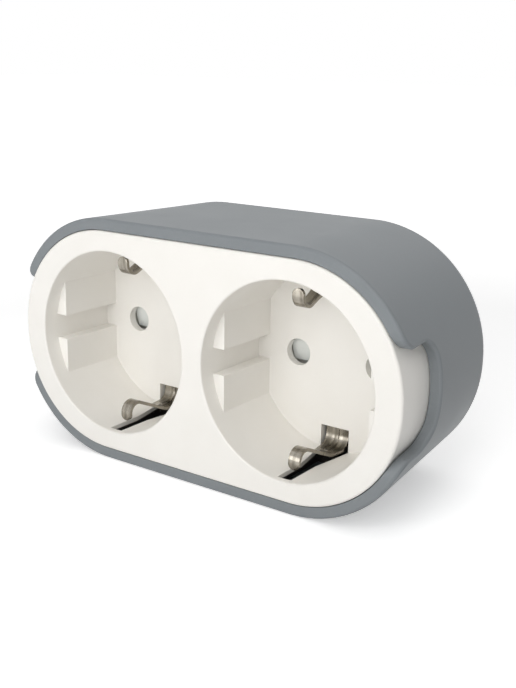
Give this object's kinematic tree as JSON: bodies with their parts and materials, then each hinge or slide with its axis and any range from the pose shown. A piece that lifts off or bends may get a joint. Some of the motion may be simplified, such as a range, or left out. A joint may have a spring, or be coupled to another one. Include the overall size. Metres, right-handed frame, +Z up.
{
  "type": "multi socket adapter",
  "caption": "Wall adapter with side-by-side round earthed sockets, shutters behind the pin holes, a wrap-around rear shell with finger cut-outs, and a plug on the back.",
  "frame": {"origin": "bottom centre of the whole part, on the face it rests on", "axes": "+Z up; the sockets face -Y; the plug pins point to +Y; +X runs from the left socket to the right one"},
  "size_m": [0.0978, 0.0768, 0.0532],
  "materials": {
    "white_plastic": "satin moulded thermoplastic, warm white",
    "grey_plastic": "fine matt soft-touch, mid grey",
    "plated_strip": "nickel-plated spring strip",
    "shutter_plastic": "pale moulded plastic",
    "spring_steel": "drawn spring wire",
    "guide_plastic": "pale moulded plastic",
    "bar_brass": "stamped brass",
    "plated_pin": "nickel-plated turned brass",
    "carrier_plastic": "pale insulating plastic",
    "screw_steel": "zinc-plated steel"
  },
  "bodies": {
    "adapter": {"front_housing": "white_plastic", "rear_shell": "grey_plastic", "earth_bracket_left": "plated_strip", "earth_bracket_right": "plated_strip", "earth_link": "plated_strip", "plug_earth_bracket": "plated_strip", "shutter_spring_left": "spring_steel", "shutter_spring_right": "spring_steel", "shutter_guide_left": "guide_plastic", "shutter_guide_right": "guide_plastic", "live_bar": "bar_brass", "neutral_bar": "bar_brass", "plug_pin_live": "plated_pin", "plug_pin_neutral": "plated_pin", "contact_carrier": "carrier_plastic", "housing_screws": "screw_steel", "guide_screws": "screw_steel"},
    "left_shutter": {"shutter_left": "shutter_plastic"},
    "right_shutter": {"shutter_right": "shutter_plastic"}
  },
  "joints": [
    {"name": "shutter_left_slide", "type": "slide", "parent": "adapter", "child": "left_shutter", "axis": [0, 0, 1], "range_m": [0, 0.0054], "stiffness_N_per_m": 120, "springref_m": -0.003, "deforming": ["shutter_spring_left"]},
    {"name": "shutter_right_slide", "type": "slide", "parent": "adapter", "child": "right_shutter", "axis": [0, 0, 1], "range_m": [0, 0.0054], "stiffness_N_per_m": 120, "springref_m": -0.003, "deforming": ["shutter_spring_right"]}
  ]
}
